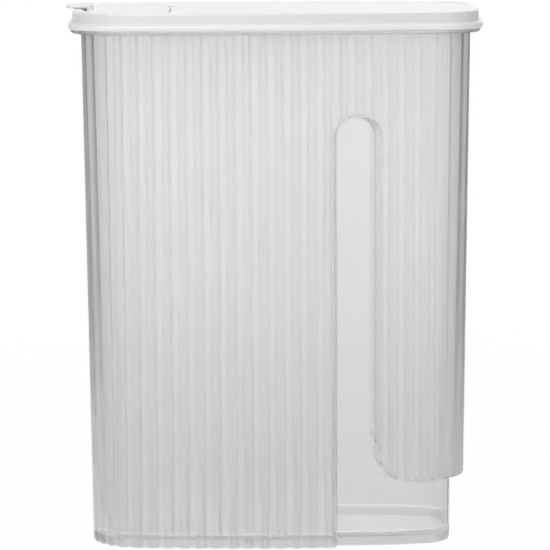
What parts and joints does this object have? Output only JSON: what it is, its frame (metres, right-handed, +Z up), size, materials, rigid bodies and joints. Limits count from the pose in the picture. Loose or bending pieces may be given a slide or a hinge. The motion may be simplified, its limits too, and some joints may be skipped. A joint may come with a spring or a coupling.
{
  "type": "cereal container",
  "caption": "Tall translucent ribbed food container with a smooth grip recess, a press-on lid and a hinged flip flap over its pour opening.",
  "frame": {"origin": "middle of the foot, on the plane that the container stands on", "axes": "+X along the width, from the spout end towards the grip end; +Y along the depth, from the front to the back; +Z up"},
  "size_m": [0.2303, 0.1156, 0.2991],
  "materials": {
    "container": "frosted translucent polypropylene",
    "lid": "satin white polypropylene",
    "flip_flap": "satin white polypropylene"
  },
  "bodies": {
    "container": {"container": "container"},
    "lid": {"lid": "lid"},
    "flap": {"flip_flap": "flip_flap"}
  },
  "joints": [
    {"name": "lid_lift", "type": "slide", "parent": "container", "child": "lid", "axis": [0, 0, 1], "range_m": [0, 0.05]},
    {"name": "flap_hinge", "type": "hinge", "parent": "lid", "child": "flap", "pos_m": [-0.0603, 0, 0.2939], "axis": [0, 1, 0], "range_deg": [0, 120]}
  ]
}
